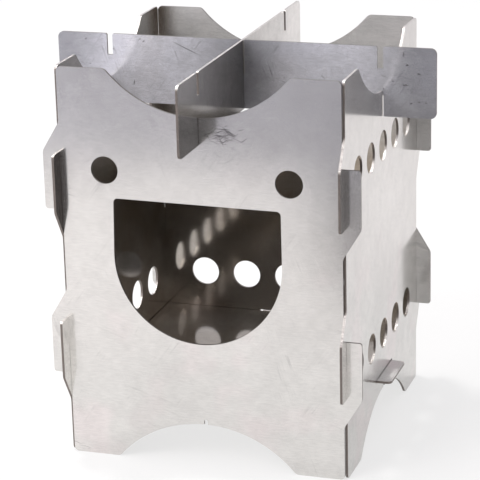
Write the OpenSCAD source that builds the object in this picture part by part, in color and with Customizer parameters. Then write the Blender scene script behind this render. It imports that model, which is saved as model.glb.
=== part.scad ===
// Flat-pack hobo stove: four walls that hook together at the corners, a floor plate that
// is held by tabs, and two crossed pot supports that straddle the walls and lift off.
// Millimetres, +Z up. The origin is on the ground under the middle of the stove, and the
// wall with the fuel mouth faces -Y. A wall is drawn as it is seen from outside.

/* [Body] */
// Outer width of the square body
body_w = 120; // [116:1:140]
// Height of the walls
body_h = 166; // [160:1:190]
// Thickness of the sheet that every piece is cut from
sheet_t = 1; // [0.8:0.1:1.2]
// Play between hooked walls, on each side of the sheet
fit_gap = 0.05; // [0.02:0.01:0.1]

/* [Wall outline] */
// Radius of the outer corners of the horns and the feet
corner_r = 2; // [1:0.5:4]
// Radius of the arc in the top edge and of the arch in the bottom edge
arc_r = 50; // [46:1:54]
// Depth of the arc and height of the arch
arc_depth = 18; // [14:0.5:19]
// Radius where the arc runs out into the straight edge
arc_end_r = 3; // [1:0.5:5]
// Width of the notch in the middle of each arc
notch_w = 1.6; // [1.5:0.1:2]
// Depth of that notch
notch_depth = 2.1; // [1.5:0.1:2.5]

/* [Corner hooks] */
// How far an ear stands out past the outer face of the next wall
ear_out = 6.4; // [5:0.1:8]
// Height over which two ears are hooked into each other
lap_h = 24.4; // [20:0.2:28]
// Distance between the middles of the lower and the upper hooks of a corner
hook_pitch = 71.2; // [68:0.2:76]
// Height of the slope that runs from an ear back into the wall
ear_slope_h = 12.2; // [10:0.2:13]
// Radius at both ends of that slope
ear_slope_r = 4; // [2:0.5:5]
// Radius of the corners at the free end of an ear
ear_end_r = 1.2; // [0.6:0.1:2]

/* [Front cut-outs] */
// Radius of the round lower part of the fuel mouth
mouth_r = 35.6; // [30:0.2:37]
// Height of that radius's centre above the middle of the wall
mouth_above_mid = 5.5; // [0:0.5:8]
// Height of the fuel mouth above that centre
mouth_rise = 23.8; // [18:0.2:26]
// Width of the fuel mouth at its top edge
mouth_top_w = 70.4; // [58:0.2:74]
// Radius of its two upper corners
mouth_corner_r = 1.8; // [1:0.1:4]
// Diameter of the two round air holes above the mouth
air_hole_d = 11.5; // [8:0.5:12]
// Distance between those two holes
air_hole_pitch = 77.4; // [70:0.2:80]
// Height of those two holes above the mouth's centre
air_hole_rise = 35.3; // [33:0.1:37]
// How far the front cut-outs sit to the left of the middle
front_shift = 1.7; // [0:0.1:3]
// How many degrees the front cut-outs lean to the right
front_lean = 0.6; // [0:0.1:1]

/* [Vents] */
// Diameter of the round vents in the other three walls
vent_d = 13; // [10:0.5:14]
// Number of vents in a row
vent_count = 5; // [3:1:5]
// Distance between neighbouring vents
vent_pitch = 20; // [18:0.5:21]
// Height of the lower row
vent_low_z = 42.1; // [38:0.1:46]
// How far the upper row lies below the top edge
vent_high_drop = 41.5; // [38:0.1:46]

/* [Floor plate] */
// Height of the floor plate's underside, which is the lower edge of its slots
floor_z = 24; // [20.5:0.5:28]
// Gap between the floor plate and the walls round it
floor_gap = 0.3; // [0.2:0.1:1]
// Width of the three tabs
tab_w = 25; // [18:0.5:32]
// How far a tab stands out past the wall
tab_out = 6.3; // [4:0.1:8]
// Radius of a tab's outer corners
tab_r = 2; // [0.5:0.5:3]
// Play at each end of a tab in its slot
slot_end_gap = 1.4; // [0.4:0.1:2]
// Height of the slot above the floor plate
slot_top_gap = 0.4; // [0.2:0.1:0.6]

/* [Pot supports] */
// Length of a pot support
support_len = 165; // [156:1:180]
// Height of a pot support
support_h = 29.3; // [26:0.1:34]
// Radius of its corners
support_r = 2.5; // [1:0.5:4]
// Width of the slots that straddle the walls
rest_slot_w = 1.7; // [1.6:0.1:2]
// Depth of those slots
rest_slot_depth = 9.3; // [7:0.1:11]
// Width of the spare slots in the top edge
top_slot_w = 2.5; // [1.8:0.1:3]
// Depth of the spare slots
top_slot_depth = 9.1; // [7:0.1:11]
// Distance between the two spare slots
top_slot_pitch = 118; // [112:0.5:122]
// Chamfer at the mouth of a spare slot
top_slot_chamfer = 0.5; // [0.2:0.1:1]
// Width of the slots by which the two supports cross
cross_slot_w = 1.7; // [1.6:0.1:2]
// Gap under a support where it rests
rest_gap = 0.1; // [0.05:0.05:0.2]

/* [Hidden] */
$fn = 96;
half_w = body_w / 2;
edge_x = half_w - sheet_t - fit_gap;
lap_x = half_w + fit_gap;
ear_x = half_w + ear_out;
hook_low_z = (body_h - hook_pitch) / 2;
hook_high_z = (body_h + hook_pitch) / 2;
mouth_z = body_h / 2 + mouth_above_mid;
vent_high_z = body_h - vent_high_drop;
slot_w = tab_w + 2 * slot_end_gap;
slot_h = sheet_t + slot_top_gap;
floor_half = half_w - sheet_t - floor_gap;
tab_x = half_w + tab_out;
wall_mid = half_w - sheet_t / 2;
seat_rise = round_end_rise(notch_w) + round_end_rise(rest_slot_w);
support_z = body_h - arc_depth - notch_depth + seat_rise + rest_gap - rest_slot_depth;
support_half = support_len / 2;
cross_depth = (support_h + rest_gap) / 2;
over = 1;
sheet_colour = "silver";
support_colour = "darkgray";

// A sheet in a slot with a round end touches it with its corners, this far above its bottom
function round_end_rise(slot) = slot / 2 - sqrt(pow(slot / 2, 2) - pow(sheet_t / 2, 2));

// Steps from corner i of an outline to its neighbours, as unit vectors, and what follows
// from them for a corner point [x, y, radius].
function point(p) = [p[0], p[1]];
function unit(v) = v / norm(v);
function step_back(pts, i) = unit(point(pts[(i + len(pts) - 1) % len(pts)]) - point(pts[i]));
function step_on(pts, i) = unit(point(pts[(i + 1) % len(pts)]) - point(pts[i]));
function half_angle(pts, i) = acos(step_back(pts, i) * step_on(pts, i)) / 2;
function tangent_len(pts, i) = pts[i][2] / tan(half_angle(pts, i));
function arc_start(pts, i) = point(pts[i]) + step_back(pts, i) * tangent_len(pts, i);
function arc_end(pts, i) = point(pts[i]) + step_on(pts, i) * tangent_len(pts, i);
function arc_middle(pts, i) = point(pts[i])
    + unit(step_back(pts, i) + step_on(pts, i)) * pts[i][2] / sin(half_angle(pts, i));
function turns_out(pts, i) = cross(step_back(pts, i), step_on(pts, i)) < 0;

// The circle that rounds corner i
module corner_circle(pts, i) {
    translate(arc_middle(pts, i)) circle(r = pts[i][2]);
}

// An outline through corner points [x, y, radius], which go round anticlockwise
module rounded_outline(pts) {
    round_at = [for (i = [0 : len(pts) - 1]) if (pts[i][2] > 0) i];
    difference() {
        union() {
            polygon([for (i = [0 : len(pts) - 1])
                each pts[i][2] > 0 ? [arc_start(pts, i), arc_end(pts, i)] : [point(pts[i])]]);
            for (i = round_at) if (turns_out(pts, i)) corner_circle(pts, i);
        }
        for (i = round_at) if (!turns_out(pts, i)) corner_circle(pts, i);
    }
}

// Corner points of a right-hand ear, from its slope up to its slot, for a lap round height z
function ear_points(z) = [
    [edge_x, z - lap_h / 2 - ear_slope_h, ear_slope_r],
    [ear_x, z - lap_h / 2, ear_slope_r],
    [ear_x, z + lap_h / 2, ear_end_r],
    [lap_x, z + lap_h / 2, 0],
    [lap_x, z - fit_gap, 0],
    [edge_x, z - fit_gap, 0]];

// The right edge of a wall. Turned half round, it is the left edge too.
function right_edge() = concat(
    [[edge_x, 0, corner_r]],
    ear_points(hook_low_z),
    ear_points(hook_high_z),
    [[edge_x, body_h, corner_r]]);
function half_turn(pts) = [for (p = pts) [-p[0], body_h - p[1], p[2]]];

// The arch in the bottom edge, with rounded ends and the notch in its middle
module bottom_arch() {
    arc_z = arc_depth - arc_r;
    end_x = sqrt(pow(arc_r, 2) - pow(arc_z, 2));
    round_x = sqrt(pow(arc_r + arc_end_r, 2) - pow(arc_end_r - arc_z, 2));
    touch_share = arc_r / (arc_r + arc_end_r);
    translate([0, arc_z]) circle(r = arc_r, $fn = 240);
    for (side = [-1, 1]) scale([side, 1]) difference() {
        polygon([
            [end_x, 0],
            [round_x, 0],
            [round_x * touch_share, arc_z + (arc_end_r - arc_z) * touch_share]]);
        translate([round_x, arc_end_r]) circle(r = arc_end_r);
    }
    translate([-notch_w / 2, 0]) square([notch_w, arc_depth + notch_depth - notch_w / 2]);
    translate([0, arc_depth + notch_depth - notch_w / 2]) circle(d = notch_w);
}

// A wall without its cut-outs
module wall_outline() {
    difference() {
        rounded_outline(concat(right_edge(), half_turn(right_edge())));
        bottom_arch();
        translate([0, body_h]) rotate(180) bottom_arch();
    }
}

// Fuel mouth and air holes of the front wall
module front_cutouts() {
    translate([-front_shift, mouth_z]) rotate(-front_lean) {
        intersection() {
            circle(r = mouth_r, $fn = 180);
            translate([-mouth_r, -mouth_r]) square([2 * mouth_r, mouth_r]);
        }
        rounded_outline([
            [-mouth_r, 0, 0],
            [mouth_r, 0, 0],
            [mouth_top_w / 2, mouth_rise, mouth_corner_r],
            [-mouth_top_w / 2, mouth_rise, mouth_corner_r]]);
        for (side = [-1, 1]) translate([side * air_hole_pitch / 2, air_hole_rise])
            circle(d = air_hole_d);
    }
}

// Vents and floor slot of the other three walls
module vent_cutouts() {
    for (z = [vent_low_z, vent_high_z], i = [0 : vent_count - 1])
        translate([(i - (vent_count - 1) / 2) * vent_pitch, z]) circle(d = vent_d);
    translate([-slot_w / 2, floor_z]) square([slot_w, slot_h]);
}

// Stands a flat outline up as a wall, turned by angle from the front
module stand_wall(angle) {
    rotate(angle) translate([0, sheet_t - half_w, 0]) rotate([90, 0, 0])
        linear_extrude(sheet_t) children();
}

module front_panel() {
    color(sheet_colour) stand_wall(0) difference() {
        wall_outline();
        front_cutouts();
    }
}

module vented_panel(angle) {
    color(sheet_colour) stand_wall(angle) difference() {
        wall_outline();
        vent_cutouts();
    }
}

module right_panel() vented_panel(90);
module back_panel() vented_panel(180);
module left_panel() vented_panel(270);

// One tab of the floor plate, which points along +X
module floor_tab() {
    rounded_outline([
        [0, -tab_w / 2, 0],
        [tab_x, -tab_w / 2, tab_r],
        [tab_x, tab_w / 2, tab_r],
        [0, tab_w / 2, 0]]);
}

module floor_plate() {
    color(sheet_colour) translate([0, 0, floor_z]) linear_extrude(sheet_t) {
        square(2 * floor_half, center = true);
        for (angle = [0, 90, 180]) rotate(angle) floor_tab();
    }
}

// A pot support with its lower edge on the X axis, without the slot at the crossing
module support_outline() {
    difference() {
        rounded_outline([
            [-support_half, 0, support_r],
            [support_half, 0, support_r],
            [support_half, support_h, support_r],
            [-support_half, support_h, support_r]]);
        for (side = [-1, 1]) {
            translate([side * wall_mid, 0]) rest_slot();
            translate([side * top_slot_pitch / 2, support_h]) top_slot();
        }
    }
}

// Slot with a round end that straddles a wall
module rest_slot() {
    translate([-rest_slot_w / 2, -over])
        square([rest_slot_w, over + rest_slot_depth - rest_slot_w / 2]);
    translate([0, rest_slot_depth - rest_slot_w / 2]) circle(d = rest_slot_w);
}

// Spare slot, open at the top, with a chamfered mouth
module top_slot() {
    mouth_half = top_slot_w / 2 + top_slot_chamfer;
    translate([-top_slot_w / 2, -top_slot_depth]) square([top_slot_w, top_slot_depth + over]);
    polygon([
        [0, -mouth_half],
        [mouth_half, 0],
        [-mouth_half, 0]]);
}

// Stands a support's outline up in its place, turned by angle about the crossing
module stand_support(angle) {
    color(support_colour) rotate(angle) translate([0, sheet_t / 2, support_z])
        rotate([90, 0, 0]) linear_extrude(sheet_t) children();
}

// Runs from left to right, with its slot at the crossing open upward
module lower_pot_support() {
    stand_support(0) difference() {
        support_outline();
        translate([-cross_slot_w / 2, support_h - cross_depth])
            square([cross_slot_w, cross_depth + over]);
    }
}

// Runs from front to back, with its slot at the crossing open downward
module upper_pot_support() {
    stand_support(90) difference() {
        support_outline();
        translate([-cross_slot_w / 2, -over]) square([cross_slot_w, cross_depth + over]);
    }
}

front_panel();
right_panel();
back_panel();
left_panel();
floor_plate();
lower_pot_support();
upper_pot_support();
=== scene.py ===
"""A flat-pack hobo stove of stainless sheet, on a pale studio floor. Lengths are in metres."""
import math
import random

import bpy
from mathutils import Matrix, Vector

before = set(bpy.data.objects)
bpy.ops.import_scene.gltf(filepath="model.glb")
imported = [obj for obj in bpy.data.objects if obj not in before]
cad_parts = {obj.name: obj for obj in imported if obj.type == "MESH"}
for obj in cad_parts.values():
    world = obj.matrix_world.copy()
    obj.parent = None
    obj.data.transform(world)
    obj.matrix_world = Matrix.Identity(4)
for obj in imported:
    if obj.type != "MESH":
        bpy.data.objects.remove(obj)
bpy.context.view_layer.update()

# The camera that took the photograph, as it was fitted to the stove's corners. The lens and the
# sensor's width are in millimetres
CAMERA_TARGET = Vector((-0.00327, 0, 0.07859))
CAMERA_DISTANCE = 0.91537
CAMERA_AZIMUTH = math.radians(18.37)
CAMERA_ELEVATION = math.radians(17.98)
CAMERA_ROLL = math.radians(-1.436)
CAMERA_LENS = 160.34
CAMERA_SENSOR = 36


def make_camera():
    back = Vector((
        math.sin(CAMERA_AZIMUTH) * math.cos(CAMERA_ELEVATION),
        -math.cos(CAMERA_AZIMUTH) * math.cos(CAMERA_ELEVATION),
        math.sin(CAMERA_ELEVATION)))
    data = bpy.data.cameras.new("camera")
    data.lens = CAMERA_LENS
    data.sensor_width = CAMERA_SENSOR
    camera = bpy.data.objects.new("camera", data)
    bpy.context.scene.collection.objects.link(camera)
    turn = (-back).to_track_quat("-Z", "Y").to_matrix() @ Matrix.Rotation(CAMERA_ROLL, 3, "Z")
    camera.matrix_world = Matrix.LocRotScale(CAMERA_TARGET + back * CAMERA_DISTANCE, turn, None)
    bpy.context.scene.camera = camera


class Tree:
    """Short calls for building a node tree."""

    def __init__(self, owner):
        owner.use_nodes = True
        self.tree = owner.node_tree
        self.tree.nodes.clear()

    def node(self, kind, inputs=None, **settings):
        made = self.tree.nodes.new(kind)
        for name, value in settings.items():
            setattr(made, name, value)
        for name, value in (inputs or {}).items():
            self.put(value, made.inputs[name])
        return made

    def put(self, value, socket):
        if isinstance(value, bpy.types.NodeSocket):
            self.tree.links.new(value, socket)
        else:
            socket.default_value = value

    def math(self, operation, *values):
        made = self.node("ShaderNodeMath", operation=operation)
        for value, socket in zip(values, made.inputs):
            self.put(value, socket)
        return made.outputs[0]

    def ramp(self, value, low, high, to_low=0.0, to_high=1.0):
        """value mapped smoothly from low..high to to_low..to_high"""
        made = self.node(
            "ShaderNodeMapRange",
            {"Value": value, "From Min": low, "From Max": high,
             "To Min": to_low, "To Max": to_high},
            interpolation_type="SMOOTHSTEP")
        return made.outputs["Result"]

    def mix(self, share, a, b):
        """The colour a where share is 0, and b where it is 1"""
        made = self.node("ShaderNodeMix", data_type="RGBA")
        self.put(share, made.inputs[0])
        self.put(a, made.inputs[6])
        self.put(b, made.inputs[7])
        return made.outputs[2]

    def noise(self, place, scale, detail=2.0, roughness=0.5):
        made = self.node(
            "ShaderNodeTexNoise",
            {"Vector": place, "Scale": scale, "Detail": detail, "Roughness": roughness})
        return made.outputs["Fac"]

    def stretched(self, place, scales, shift=(0, 0, 0)):
        made = self.node(
            "ShaderNodeMapping", {"Vector": place, "Scale": scales, "Location": shift})
        return made.outputs["Vector"]


def grey(level, warm=0.0):
    """A linear grey; warm lifts the red and lowers the blue."""
    return (level * (1 + warm), level, level * (1 - warm), 1)


# Clean sheet, its pink tinge where it has been warm, the soot inside, cut edges and scratches
STEEL = (0.672, 0.660, 0.640, 1)
# A bluish tinge, a painted reflection of the bluish light from above that the lower support mirrors
SKY_TINTED_STEEL = (0.655, 0.652, 0.685, 1)
PINK_STEEL = (0.70, 0.655, 0.645, 1)
SOOTY_STEEL = (0.280, 0.236, 0.184, 1)
STAINED_STEEL = (0.13, 0.105, 0.09, 1)
# Painted highlight: the light colour of cut edges that face up
EDGE_HIGHLIGHT = (0.64, 0.60, 0.57, 1)
BURNT_EDGE = (0.19, 0.165, 0.15, 1)
MARK = (0.11, 0.10, 0.105, 1)

# The share of each side that mirrors, where the rest is satin, and how rough each is
BRIGHT_MIRROR = 0.76
DULL_MIRROR = 0.32
SOOTY_MIRROR = 0.74
HOOK_MIRROR = 0.88
MIRROR_ROUGH = 0.15
DULL_MIRROR_ROUGH = 0.21
SOOTY_ROUGH = 0.10
SATIN_ROUGH = 0.50
DULL_ROUGH = 0.66
CUT_ROUGH = 0.30

# Soot lies inside the walls, within a distance of the stove's middle planes. It fades out between
# two heights, is patchy, and is thinner low down
SOOT_FADE = (0.095, 0.135)
SOOT_SIDE = 0.0598
SOOT_PATCHES = (0.35, 0.62, 1, 0.75)
SOOT_LOW = (0.05, 0.085, 0.76, 1)

# The soot climbs to the top in the corner at the back and left
SOOT_LEFT = (-0.049, -0.058)
SOOT_BACK = (0.040, 0.058)
SOOT_CORNER = 0.9

# Fine hair scratches and short flecks: their lengths and widths, and the spread of a hair's tilt
HAIR_LENGTH = (0.003, 0.010)
HAIR_WIDTH = 0.00034
HAIR_TILT = 0.42
FLECK_LENGTH = (0.0009, 0.0020)
FLECK_WIDTH = 0.0009

# A noise bends the hairs by up to about half of this
WARP = 0.0045
WARP_SCALE = 130

# Stray scratches: waves along and across them, their width as a share of a wave, the way each set
# runs, and the patches that keep them
SCRATCH_ALONG = 14
SCRATCH_ACROSS = 700
SCRATCH_WIDTH = 0.03
SCRATCH_TURNS = (0.35, 1.25, 2.2)
PATCH_SCALE = 40
PATCH_SCALE_STEP = 12
PATCH_FADE = (0.52, 0.72)

# Painted light and shade in the tone: it changes towards the ends of a sheet, is lighter at the
# feet, and changes from the front to the back
ENDS_FADE = (0.045, 0.080)
FOOT_FADE = (0, 0.035)
FOOT_PAINTED_LIGHT = 1.08
LEAN_FADE = (-0.08, 0.08)

# The left wall's upper hooks are stained by heat, and its lower ones get painted light that makes
# them brighter
STAIN_FADE = (0.080, 0.095)
LOW_HOOK_PAINTED_LIGHT = 1.32

# How squarely a face looks along its sheet's way, how far up an edge looks before it takes the
# painted highlight, and how deep the grooves of a cut are
FACE_FADE = (0.5, 0.8)
EDGE_FADE = (0.2, 0.7)
GROOVE_DEPTH = 0.0004

# Noise scales, in waves per metre
CLOUD_SCALE = 26
PINK_SCALE = 34
MOTTLE_SCALE = 210
SOOT_SCALE = 32
GRAIN_ALONG = 250
GRAIN_ACROSS = 1700
GROOVE_SCALE = 1500
SPARKLE_SCALE = 40000

# From the level of a noise, or a height, to a change of tone or tinge
NOISE_MIDDLE = 0.5
CLOUD_TONE = (0.3, 0.7, 0.955, 1.045)
MOTTLE_SPAN = (0.25, 0.75)
GRAIN_TONE = (0.25, 0.75, -0.06, 0.06)
PINK_PATCHES = (0.5, 0.68, 0, 0.9)
PINK_LOW = (0.05, 0.11, 1, 0.15)
PINK_SHIFT = (7, 3, 1)


class Rub:
    """A spot of a sheet that is covered with fine hair scratches, given across and up it."""

    def __init__(self, spot, spread, count, depth, length=HAIR_LENGTH, width=HAIR_WIDTH):
        self.spot = spot
        self.spread = spread
        self.count = count
        self.depth = depth
        self.length = length
        self.width = width


class Scratch:
    """One straight scratch between two points of a sheet, given across and up it."""

    def __init__(self, start, end, width=0.0006, depth=0.85):
        self.start = Vector(start)
        self.end = Vector(end)
        self.width = width
        self.depth = depth


class Sheet:
    """One sheet of steel, and how it has worn.

    way is where its bright side looks, and wear how strongly stray scratches show. tone is its
    brightness between the walls, and ends its brightness past them, both painted light and shade
    set sheet by sheet. lean is painted light that makes its back end brighter than its front end.
    dim is painted shade that darkens it in front of the stove's middle, most at the crossing of the
    supports, and out to dim_to from there.
    mottle is how uneven it is, stain how brown its upper hooks are, and shine how bright the
    painted highlight is on the cut edges that face up.
    """

    def __init__(self, way, wear=0.3, rubs=(), scratches=(), colour=STEEL, tone=1.0, ends=1.0,
                 lean=0.0, dim=0.0, dim_to=0.05, mottle=0.045, stain=0.0, shine=0.0):
        self.way = Vector(way)
        self.wear = wear
        self.rubs = rubs
        self.scratches = scratches
        self.tone = tone
        self.ends = ends
        self.lean = lean
        self.dim = dim
        self.dim_to = dim_to
        self.stain = stain
        self.shine = shine
        self.mottle = mottle
        self.colour = colour


# Places and spreads are in metres across and up a sheet
SHEETS = {
    "front_panel": Sheet(
        (0, -1, 0), wear=0.2, mottle=0.03,
        rubs=(
            Rub((0.0112, 0.1420), (0.0034, 0.0011), 38, 1.0, (0.002, 0.009)),
            Rub((0.0115, 0.1412), (0.0022, 0.0008), 9, 1.0, (0.002, 0.006)),
            Rub((0.0135, 0.1375), (0.0055, 0.0045), 7, 0.4),
            Rub((-0.0570, 0.1120), (0.0020, 0.0040), 4, 0.6),
            Rub((-0.0500, 0.1330), (0.0050, 0.0030), 3, 0.3),
            Rub((0.0630, 0.1225), (0.0020, 0.0030), 4, 0.6),
            Rub((-0.0540, 0.0030), (0.0030, 0.0010), 3, 0.5))),
    "right_panel": Sheet(
        (1, 0, 0), wear=0.12, tone=0.97, shine=0.9,
        rubs=(
            Rub((-0.0635, 0.1210), (0.0020, 0.0030), 5, 0.5),)),
    "back_panel": Sheet(
        (0, 1, 0), wear=0.2, tone=1.15,
        rubs=(
            Rub((-0.0200, 0.1390), (0.0050, 0.0020), 14, 0.5),)),
    "left_panel": Sheet(
        (-1, 0, 0), wear=0.2, stain=0.85, shine=0.9,
        rubs=(
            Rub((0.0180, 0.1370), (0.0050, 0.0020), 14, 0.5),)),
    "floor_plate": Sheet((0, 0, -1), wear=0.4, ends=1.6),
    "lower_pot_support": Sheet(
        (0, 1, 0), wear=0.4, colour=SKY_TINTED_STEEL, tone=1.36, ends=0.72, dim=0.42, dim_to=0.028,
        mottle=0.065,
        rubs=(
            Rub((0.0720, 0.1500), (0.0060, 0.0050), 10, 0.9, FLECK_LENGTH, FLECK_WIDTH),
            Rub((-0.0600, 0.1590), (0.0110, 0.0045), 5, 0.8, FLECK_LENGTH, FLECK_WIDTH),
            Rub((0.0700, 0.1480), (0.0060, 0.0040), 7, 0.5),
            Rub((-0.0620, 0.1600), (0.0080, 0.0050), 8, 0.3),
            Rub((0.0300, 0.1480), (0.0120, 0.0060), 8, 0.25)),
        scratches=(
            Scratch((-0.0327, 0.1650), (-0.0165, 0.1578)),
            Scratch((-0.0482, 0.1474), (-0.0490, 0.1440), 0.0010, 0.7),
            Scratch((-0.0446, 0.1630), (-0.0428, 0.1644), 0.0009, 0.65),
            Scratch((0.0690, 0.1655), (0.0686, 0.1615), 0.0009, 0.65),
            Scratch((0.0365, 0.1500), (0.0330, 0.1545), 0.0006, 0.35))),
    "upper_pot_support": Sheet(
        (1, 0, 0), wear=0.3, tone=0.83, lean=0.11, dim=0.42, dim_to=0.075, mottle=0.06, shine=0.9),
}


def across_and_up(t, xyz, way):
    """The flat place on a sheet that looks along way"""
    if way.x:
        pair = (xyz["Y"], xyz["Z"])
    elif way.y:
        pair = (xyz["X"], xyz["Z"])
    else:
        pair = (xyz["X"], xyz["Y"])
    return t.node("ShaderNodeCombineXYZ", {"X": pair[0], "Y": pair[1]}).outputs[0]


def isoline(t, field, width):
    """A thin line where a noise passes its middle value"""
    return t.ramp(t.math("ABSOLUTE", t.math("SUBTRACT", field, NOISE_MIDDLE)), 0, width, 1, 0)


def stroke(t, flat, middle, turn, length, width):
    """0 at the middle of a thin straight stroke, and 1 at its outline"""
    local = t.node(
        "ShaderNodeMapping",
        {"Vector": flat, "Location": (*middle, 0), "Rotation": (0, 0, turn),
         "Scale": (length / 2, width / 2, 1)},
        vector_type="TEXTURE").outputs[0]
    return t.node("ShaderNodeVectorMath", {0: local}, operation="LENGTH").outputs["Value"]


def bent(t, flat):
    """The place on a sheet, warped a little so that straight strokes curl"""
    noise = t.node("ShaderNodeTexNoise", {"Vector": flat, "Scale": WARP_SCALE, "Detail": 1.0})
    centred = t.node(
        "ShaderNodeVectorMath", {0: noise.outputs["Color"], 1: (NOISE_MIDDLE,) * 3},
        operation="SUBTRACT").outputs[0]
    return t.node(
        "ShaderNodeVectorMath", {0: centred, 1: (WARP, WARP, 0), 2: flat},
        operation="MULTIPLY_ADD").outputs[0]


def hairs(t, curled, rub, seed):
    """A tangle of fine hair scratches round a rubbed spot"""
    dice = random.Random(seed)
    nearest = None
    for _ in range(rub.count):
        middle = [dice.gauss(at, spread) for at, spread in zip(rub.spot, rub.spread)]
        turn = dice.gauss(0, HAIR_TILT)
        one = stroke(t, curled, middle, turn, dice.uniform(*rub.length), rub.width)
        nearest = one if nearest is None else t.math("MINIMUM", nearest, one)
    return t.ramp(nearest, 0, 1, rub.depth, 0)


def stray_scratches(t, flat, wear):
    """Thin straight scratches that come and go, a set for each direction"""
    found = None
    for number, turn in enumerate(SCRATCH_TURNS):
        turned = t.node(
            "ShaderNodeMapping",
            {"Vector": flat, "Rotation": (0, 0, turn), "Location": (number, 0, 0)}).outputs[0]
        drawn = t.stretched(turned, (SCRATCH_ALONG, SCRATCH_ACROSS, 1))
        line = isoline(t, t.noise(drawn, 1, detail=0), SCRATCH_WIDTH)
        patches = t.noise(turned, PATCH_SCALE + PATCH_SCALE_STEP * number)
        kept = t.ramp(patches, *PATCH_FADE, 0, wear)
        line = t.math("MULTIPLY", line, kept)
        found = line if found is None else t.math("MAXIMUM", found, line)
    return found


def one_scratch(t, flat, scratch):
    """How dark a straight scratch is, from 0 to its depth"""
    along = scratch.end - scratch.start
    middle = (scratch.start + scratch.end) / 2
    turn = math.atan2(along.y, along.x)
    drawn = stroke(t, flat, middle, turn, along.length, scratch.width)
    return t.ramp(drawn, 0, 1, scratch.depth, 0)


def marks(t, sheet, flat):
    """How dark each scratch or fleck is, from 0 to 1"""
    dark = stray_scratches(t, flat, sheet.wear)
    curled = bent(t, flat)
    for seed, rub in enumerate(sheet.rubs):
        dark = t.math("MAXIMUM", dark, hairs(t, curled, rub, seed))
    for scratch in sheet.scratches:
        dark = t.math("MAXIMUM", dark, one_scratch(t, flat, scratch))
    return dark


def grain_scales(way):
    """Noise scales that draw a grain out level along a sheet"""
    if way.x:
        return (GRAIN_ACROSS, GRAIN_ALONG, GRAIN_ACROSS)
    return (GRAIN_ALONG, GRAIN_ACROSS, GRAIN_ACROSS)


def groove_scales(way):
    """Noise scales for the grooves of a cut, which run straight through the sheet"""
    return tuple(1 if part else GROOVE_SCALE for part in way)


def soot_cover(t, xyz):
    """Where soot lies on a face that looks inward, from 0 to 1"""
    corner = t.math(
        "MULTIPLY", t.ramp(xyz["X"], *SOOT_LEFT), t.ramp(xyz["Y"], *SOOT_BACK, 0, SOOT_CORNER))
    return t.math("MAXIMUM", corner, t.ramp(xyz["Z"], *SOOT_FADE, 1, 0))


def sheet_tone(t, sheet, place, xyz, within):
    """How bright the steel is at each place of a sheet, with painted light and shade in it"""
    cloud = t.noise(place, CLOUD_SCALE, detail=3, roughness=0.6)
    mottle = t.noise(place, MOTTLE_SCALE, detail=4, roughness=0.7)
    grain = t.noise(t.stretched(place, grain_scales(sheet.way)), 1, detail=3, roughness=0.65)
    clouded = t.ramp(cloud, *CLOUD_TONE)
    tone = t.math("ADD", clouded, t.ramp(mottle, *MOTTLE_SPAN, -sheet.mottle, sheet.mottle))
    tone = t.math("ADD", tone, t.ramp(grain, *GRAIN_TONE))
    # Painted light and shade: each sheet's brightness between the walls and past them
    tone = t.math("MULTIPLY", tone, t.ramp(within, *ENDS_FADE, sheet.tone, sheet.ends))
    # Painted light: lighter at the feet
    tone = t.math("MULTIPLY", tone, t.ramp(xyz["Z"], *FOOT_FADE, FOOT_PAINTED_LIGHT, 1))
    # Painted shade in front of the stove's middle, darkest at the crossing of the supports
    if sheet.dim:
        crossing = t.ramp(within, 0, sheet.dim_to, sheet.dim, 0)
        painted_crossing_shade = t.math("MULTIPLY", crossing, t.math("LESS_THAN", xyz["Y"], 0))
        tone = t.math("MULTIPLY", tone, t.math("SUBTRACT", 1.0, painted_crossing_shade))
    # Painted light: the back end brighter than the front end
    if sheet.lean:
        painted_lean = t.ramp(xyz["Y"], *LEAN_FADE, 1 - sheet.lean, 1 + sheet.lean)
        tone = t.math("MULTIPLY", tone, painted_lean)
    return tone


def sooted_steel(t, sheet, place, xyz, sooty):
    """The colour of a sheet with its pink tinge and its soot"""
    pink = t.ramp(t.noise(t.stretched(place, (1, 1, 1), PINK_SHIFT), PINK_SCALE), *PINK_PATCHES)
    pink = t.math("MULTIPLY", pink, t.ramp(xyz["Z"], *PINK_LOW))
    clean = t.mix(pink, sheet.colour, PINK_STEEL)
    sooted = t.math("MULTIPLY", sooty, t.ramp(t.noise(place, SOOT_SCALE), *SOOT_PATCHES))
    sooted = t.math("MULTIPLY", sooted, t.ramp(xyz["Z"], *SOOT_LOW))
    return t.mix(sooted, clean, SOOTY_STEEL)


def mirror_share(t, sheet, dull, sooty, outside):
    """The share of the steel's fine grains that mirror, where the rest is satin"""
    share = t.math("MULTIPLY_ADD", dull, DULL_MIRROR - BRIGHT_MIRROR, BRIGHT_MIRROR)
    share = t.math("MULTIPLY_ADD", sooty, SOOTY_MIRROR - DULL_MIRROR, share)
    if sheet.stain:
        share = t.math("MULTIPLY_ADD", outside, HOOK_MIRROR - DULL_MIRROR, share)
    return share


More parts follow.
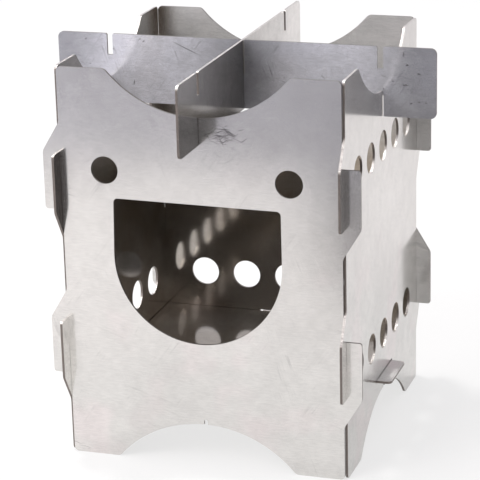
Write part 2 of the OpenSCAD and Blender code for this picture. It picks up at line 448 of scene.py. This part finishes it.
def sheet_roughness(t, place, share, face, dull, sooty):
    """Each fine grain is either mirror-like or satin, and a cut edge has a roughness of its own"""
    cell = t.node(
        "ShaderNodeVectorMath", {0: place, "Scale": SPARKLE_SCALE}, operation="SCALE").outputs[0]
    cell = t.node("ShaderNodeVectorMath", {0: cell}, operation="FLOOR").outputs[0]
    dice = t.node("ShaderNodeTexWhiteNoise", {"Vector": cell}).outputs["Value"]
    satin = t.math("GREATER_THAN", dice, share)
    satin_rough = t.math("MULTIPLY_ADD", dull, DULL_ROUGH - SATIN_ROUGH, SATIN_ROUGH - MIRROR_ROUGH)
    mirror_rough = t.math("MULTIPLY_ADD", dull, DULL_MIRROR_ROUGH - MIRROR_ROUGH, MIRROR_ROUGH)
    mirror_rough = t.math("MULTIPLY_ADD", sooty, SOOTY_ROUGH - DULL_MIRROR_ROUGH, mirror_rough)
    rough = t.math("MULTIPLY_ADD", satin, satin_rough, mirror_rough)
    return t.node("ShaderNodeMix", {"Factor": face, "A": CUT_ROUGH, "B": rough}).outputs["Result"]


def cut_grooves(t, sheet, place, face):
    """The normal of a cut edge, with grooves that run through the sheet"""
    grooves = t.noise(t.stretched(place, groove_scales(sheet.way)), 1, detail=3, roughness=0.6)
    height = t.math("MULTIPLY", grooves, t.math("SUBTRACT", 1.0, face))
    bumped = t.node(
        "ShaderNodeBump", {"Height": height, "Strength": 1.0, "Distance": GROOVE_DEPTH})
    return bumped.outputs["Normal"]


def sheet_steel(node, sheet):
    """Cold-rolled stainless sheet with a bright side, a dull side and cut edges"""
    material = bpy.data.materials.new(node + "_steel")
    t = Tree(material)
    place = t.node("ShaderNodeTexCoord").outputs["Object"]
    normal = t.node("ShaderNodeTexCoord").outputs["Normal"]
    xyz = t.node("ShaderNodeSeparateXYZ", {"Vector": place}).outputs
    flat = across_and_up(t, xyz, sheet.way)
    facing = t.node(
        "ShaderNodeVectorMath", {0: normal, 1: sheet.way}, operation="DOT_PRODUCT").outputs["Value"]
    face = t.ramp(t.math("ABSOLUTE", facing), *FACE_FADE)
    dull = t.math("LESS_THAN", facing, 0)
    within = t.math("MAXIMUM", t.math("ABSOLUTE", xyz["X"]), t.math("ABSOLUTE", xyz["Y"]))
    inside = t.math("MULTIPLY", dull, t.math("LESS_THAN", within, SOOT_SIDE))
    sooty = t.math("MULTIPLY", inside, soot_cover(t, xyz))

    # The tone holds painted light and shade as well as the steel's own unevenness
    tone = sheet_tone(t, sheet, place, xyz, within)
    steel = sooted_steel(t, sheet, place, xyz, sooty)
    outside = t.math("MULTIPLY", dull, t.math("GREATER_THAN", within, SOOT_SIDE))
    if sheet.stain:
        stained = t.math("MULTIPLY", outside, t.ramp(xyz["Z"], *STAIN_FADE, 0, sheet.stain))
        steel = t.mix(stained, steel, STAINED_STEEL)
        # Painted light: the lower hooks are made brighter
        painted_hook_light = t.math("MULTIPLY", outside, t.ramp(xyz["Z"], *STAIN_FADE, LOW_HOOK_PAINTED_LIGHT - 1, 0))
        tone = t.math("MULTIPLY", tone, t.math("ADD", 1.0, painted_hook_light))
    steel = t.node("ShaderNodeVectorMath", {0: steel, "Scale": tone}, operation="SCALE").outputs[0]
    steel = t.mix(marks(t, sheet, flat), steel, MARK)
    up = t.node("ShaderNodeSeparateXYZ", {"Vector": normal}).outputs["Z"]
    # Cut edges that face up take a painted highlight, as strong as the sheet's shine, and the others
    # stay dark
    edge = t.mix(t.ramp(up, *EDGE_FADE, 0, sheet.shine), BURNT_EDGE, EDGE_HIGHLIGHT)
    colour = t.mix(face, edge, steel)

    share = mirror_share(t, sheet, dull, sooty, outside)
    rough = sheet_roughness(t, place, share, face, dull, sooty)
    bsdf = t.node(
        "ShaderNodeBsdfPrincipled",
        {"Base Color": colour, "Metallic": 1.0, "Roughness": rough,
         "Normal": cut_grooves(t, sheet, place, face)})
    t.node("ShaderNodeOutputMaterial", {"Surface": bsdf.outputs[0]})
    return material


def dress_sheets():
    for node, sheet in SHEETS.items():
        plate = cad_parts[node]
        plate.data.materials.clear()
        plate.data.materials.append(sheet_steel(node, sheet))


# The floor's half side and its colour, and the share of plain white that the camera sees in it
FLOOR_HALF = 3.0
FLOOR_COLOUR = 0.93
FLOOR_WARMTH = 0.025
FLOOR_WHITE = 0.7

# What the steel mirrors: past the table's edge, ahead and to the right of it, the studio is darker
TABLE_EDGE = (-0.455, -0.510)
TABLE_FRONT = (-0.22, -0.30)
TABLE_SIDE = (0.20, 0.35)
TABLE_SIDE_SLOPE = 2.7
PAST_TABLE = (0.425, 0.420, 0.465, 1)
PAST_TABLE_SIDE = (0.335, 0.33, 0.37, 1)
PAST_TABLE_CORNER = (0.13, 0.125, 0.13, 1)
PAST_TABLE_TURN = (-0.26, -0.08)
PAST_TABLE_END = (-0.07, -0.03)

# A small painted shadow on the floor behind the stove, seen only in mirrored rays, which the left
# wall's inside mirrors through a vent
SHADE = grey(0.07)
SHADE_MIDDLE = (0.0075, 0.190, 0)
SHADE_FADE = (0.022, 0.046)

# Close to the stove the mirrored floor is nearly white, as if its shadow were filled in
LIFT = 0.55
LIFT_FADE = (0.14, 0.26)


def past_table(t, xyz):
    """How far past the table's edge a place is, from 0 to 1, and the colour there"""
    ahead = t.ramp(xyz["Y"], *TABLE_EDGE)
    aside = t.math("MULTIPLY_ADD", xyz["X"], TABLE_SIDE_SLOPE, t.math("MULTIPLY", xyz["Y"], -1.0))
    before = t.ramp(xyz["Y"], *TABLE_FRONT)
    far = t.math("MAXIMUM", ahead, t.math("MULTIPLY", before, t.ramp(aside, *TABLE_SIDE)))
    colour = t.mix(t.ramp(xyz["X"], *PAST_TABLE_TURN), PAST_TABLE, PAST_TABLE_SIDE)
    colour = t.mix(t.ramp(xyz["X"], *PAST_TABLE_END), colour, PAST_TABLE_CORNER)
    return far, colour


def floor_paint():
    """Pale matt floor, toned for mirrored rays and whiter for the camera"""
    material = bpy.data.materials.new("floor")
    t = Tree(material)
    place = t.node("ShaderNodeNewGeometry").outputs["Position"]
    xyz = t.node("ShaderNodeSeparateXYZ", {"Vector": place}).outputs
    path = t.node("ShaderNodeLightPath").outputs
    mirrored = path["Is Glossy Ray"]
    far, past = past_table(t, xyz)
    colour = t.mix(t.math("MULTIPLY", far, mirrored), grey(FLOOR_COLOUR, FLOOR_WARMTH), past)
    off_patch = t.node("ShaderNodeVectorMath", {0: place, 1: SHADE_MIDDLE}, operation="DISTANCE")
    behind = t.ramp(off_patch.outputs["Value"], *SHADE_FADE, 1, 0)
    colour = t.mix(t.math("MULTIPLY", behind, mirrored), colour, SHADE)
    diffuse = t.node("ShaderNodeBsdfDiffuse", {"Color": colour})
    white = t.node("ShaderNodeEmission", {"Color": grey(1), "Strength": 1.0})
    distance = t.node("ShaderNodeVectorMath", {0: place}, operation="LENGTH").outputs["Value"]
    near = t.math("MULTIPLY", t.ramp(distance, *LIFT_FADE, LIFT, 0), t.math("SUBTRACT", 1.0, behind))
    near = t.math("MULTIPLY", near, mirrored)
    whiter = t.math("MULTIPLY_ADD", path["Is Camera Ray"], FLOOR_WHITE, near)
    mixed = t.node("ShaderNodeMixShader", {"Fac": whiter})
    t.put(diffuse.outputs[0], mixed.inputs[1])
    t.put(white.outputs[0], mixed.inputs[2])
    t.node("ShaderNodeOutputMaterial", {"Surface": mixed.outputs[0]})
    return material


def make_floor():
    mesh = bpy.data.meshes.new("floor")
    corners = [(-FLOOR_HALF, -FLOOR_HALF, 0), (FLOOR_HALF, -FLOOR_HALF, 0),
               (FLOOR_HALF, FLOOR_HALF, 0), (-FLOOR_HALF, FLOOR_HALF, 0)]
    mesh.from_pydata(corners, [], [(0, 1, 2, 3)])
    floor = bpy.data.objects.new("floor", mesh)
    bpy.context.scene.collection.objects.link(floor)
    floor.data.materials.append(floor_paint())


# The room's light, and how it falls off from left to right
ROOM_LIGHT = (0.99, 0.98, 1.03)
ROOM_RIGHT = (0.25, 0.75, 0.8, 0.02)
ROOM_LEFT = (-0.9, 0, 1.4, 1.05)


def make_world():
    """Soft light from all round and above, but little of it from the right"""
    world = bpy.data.worlds.new("studio")
    bpy.context.scene.world = world
    t = Tree(world)
    direction = t.node("ShaderNodeTexCoord").outputs["Generated"]
    xyz = t.node("ShaderNodeSeparateXYZ", {"Vector": direction}).outputs
    right = t.ramp(xyz["X"], *ROOM_RIGHT)
    left = t.ramp(xyz["X"], *ROOM_LEFT)
    room = t.node("ShaderNodeVectorMath", {0: ROOM_LIGHT, "Scale": t.math("MULTIPLY", right, left)},
                  operation="SCALE").outputs[0]
    seen = t.node("ShaderNodeLightPath").outputs["Is Camera Ray"]
    colour = t.mix(seen, room, grey(1))
    background = t.node("ShaderNodeBackground", {"Color": colour, "Strength": 1.0})
    t.node("ShaderNodeOutputWorld", {"Surface": background.outputs[0]})


def make_lamp(name, place, aim, size, power):
    data = bpy.data.lights.new(name, "AREA")
    data.shape = "RECTANGLE"
    data.size, data.size_y = size
    data.energy = power
    lamp = bpy.data.objects.new(name, data)
    bpy.context.scene.collection.objects.link(lamp)
    lamp.location = place
    lamp.rotation_euler = (Vector(aim) - Vector(place)).to_track_quat("-Z", "Y").to_euler()


make_camera()
dress_sheets()
make_floor()
make_world()
make_lamp("softbox", place=(-0.75, -1.15, 1.2), aim=(0, 0, 0.05), size=(0.9, 0.9), power=10.6)
make_lamp("top_light", place=(-0.45, 0.3, 1.5), aim=(0, 0, 0.1), size=(0.25, 0.25), power=9)
bpy.context.scene.view_settings.view_transform = "Standard"
